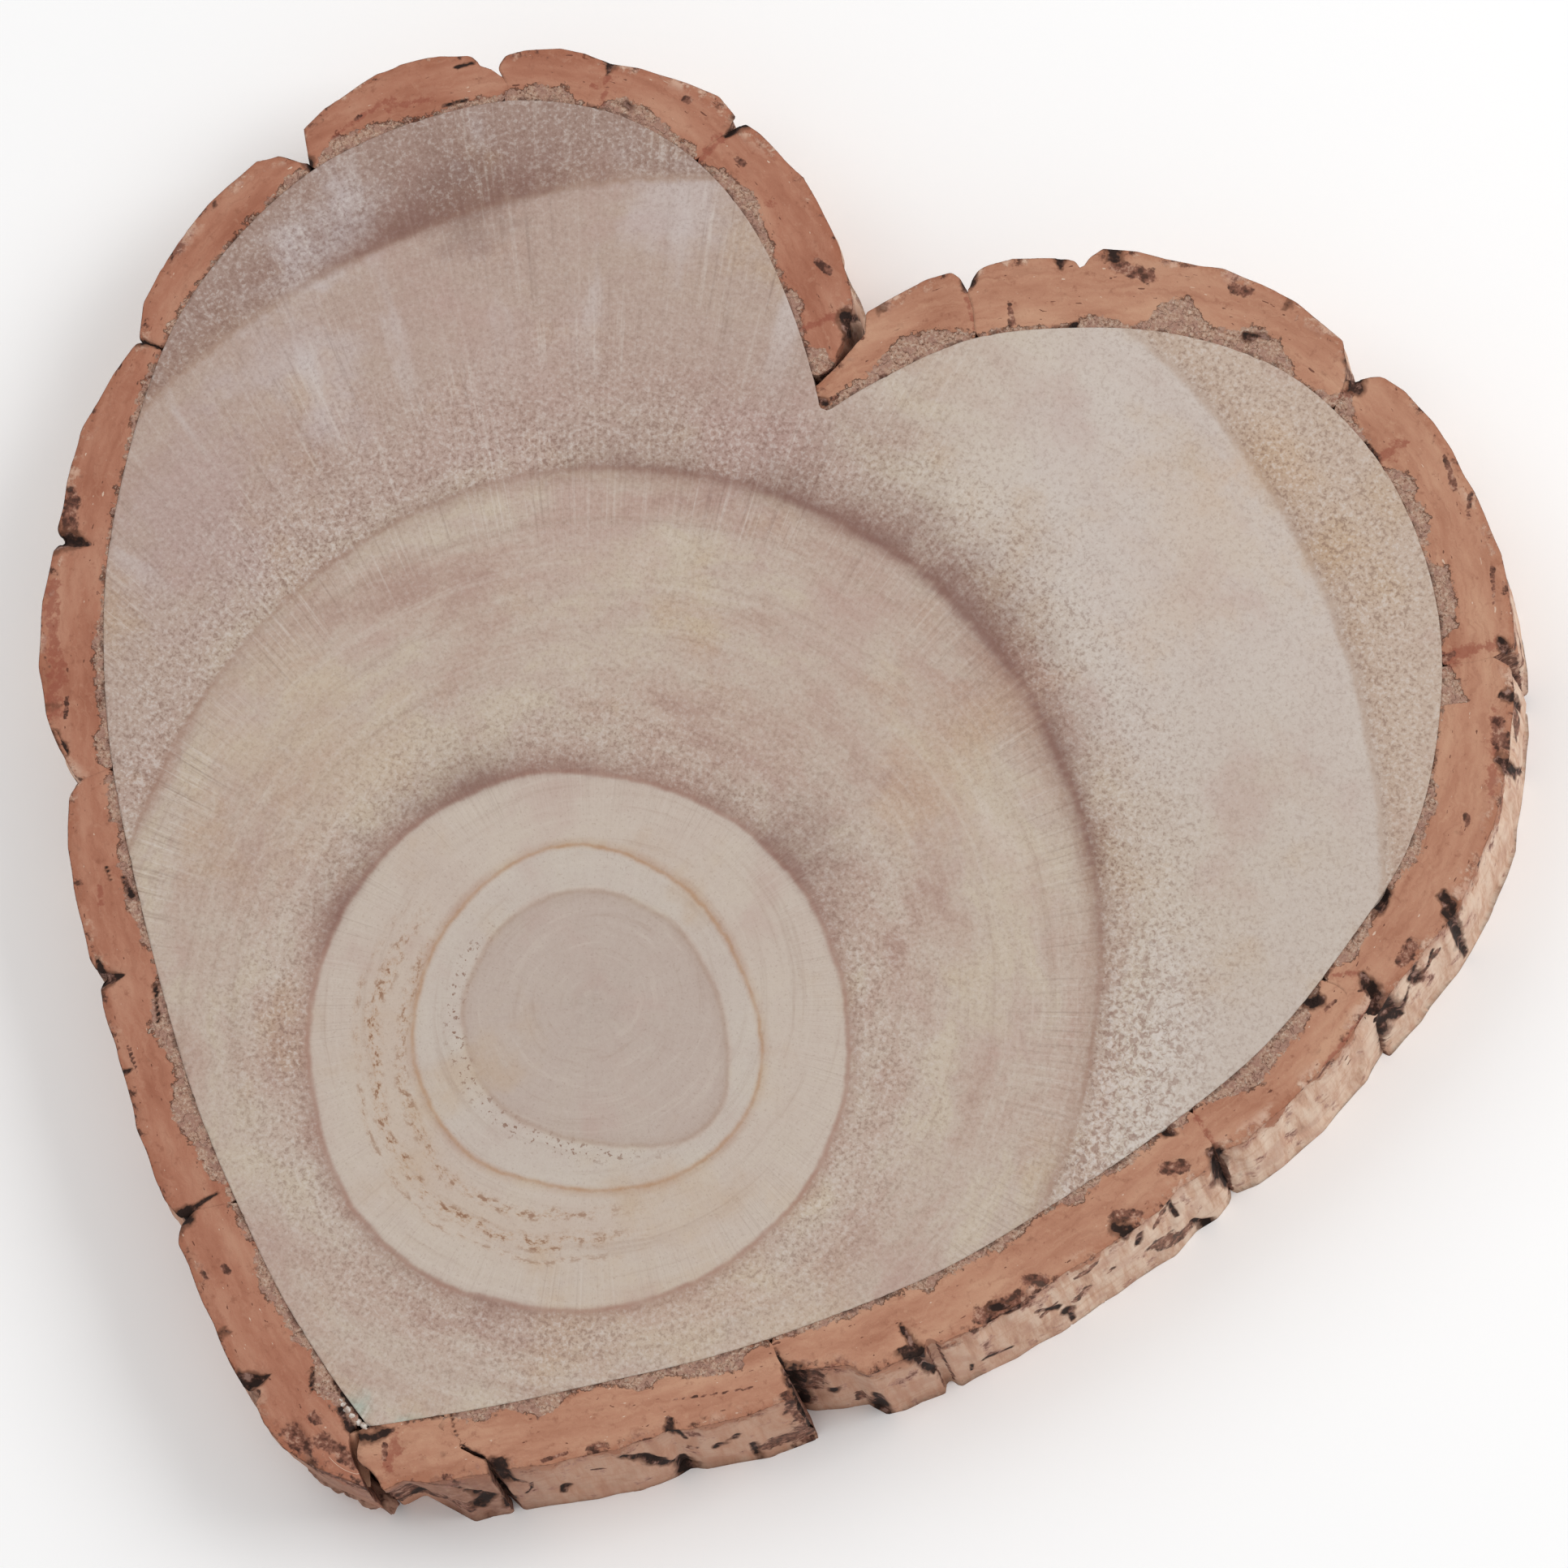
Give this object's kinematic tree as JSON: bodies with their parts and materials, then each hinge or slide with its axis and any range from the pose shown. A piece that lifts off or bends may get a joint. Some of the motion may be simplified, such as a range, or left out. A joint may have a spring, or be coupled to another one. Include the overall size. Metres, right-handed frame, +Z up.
{
  "type": "heart-shaped wood slice with bark rim",
  "caption": "Heart-shaped slab of pale wood sawn across the grain, edged all round with cork bark pieces, lying flat as a decorative slice, tray or board.",
  "frame": {"origin": "middle of the slice's outline, on its lower face", "axes": "+Z up, out of the sawn upper face; +Y towards the cleft of the heart, -Y towards its tip"},
  "size_m": [0.2004, 0.1974, 0.021],
  "materials": {
    "pale_wood": "sawn and sanded, unfinished, with growth rings, pores and rays",
    "red_bark": "sawn cork bark, reddish tan, with dark pits and a weathered back",
    "tan_bark": "sawn cork bark, orange tan, with dark pits and a weathered back"
  },
  "bodies": {
    "root": {"wood_heart": "pale_wood", "left_bark_1": "red_bark", "left_bark_2": "red_bark", "left_bark_3": "red_bark", "left_bark_4": "red_bark", "left_bark_5": "red_bark", "left_bark_6": "red_bark", "left_bark_7": "red_bark", "right_bark_1": "tan_bark", "right_bark_2": "tan_bark", "right_bark_3": "tan_bark", "right_bark_4": "tan_bark", "right_bark_5": "tan_bark", "right_bark_6": "tan_bark", "right_bark_7": "tan_bark", "right_bark_8": "tan_bark"}
  },
  "joints": []
}
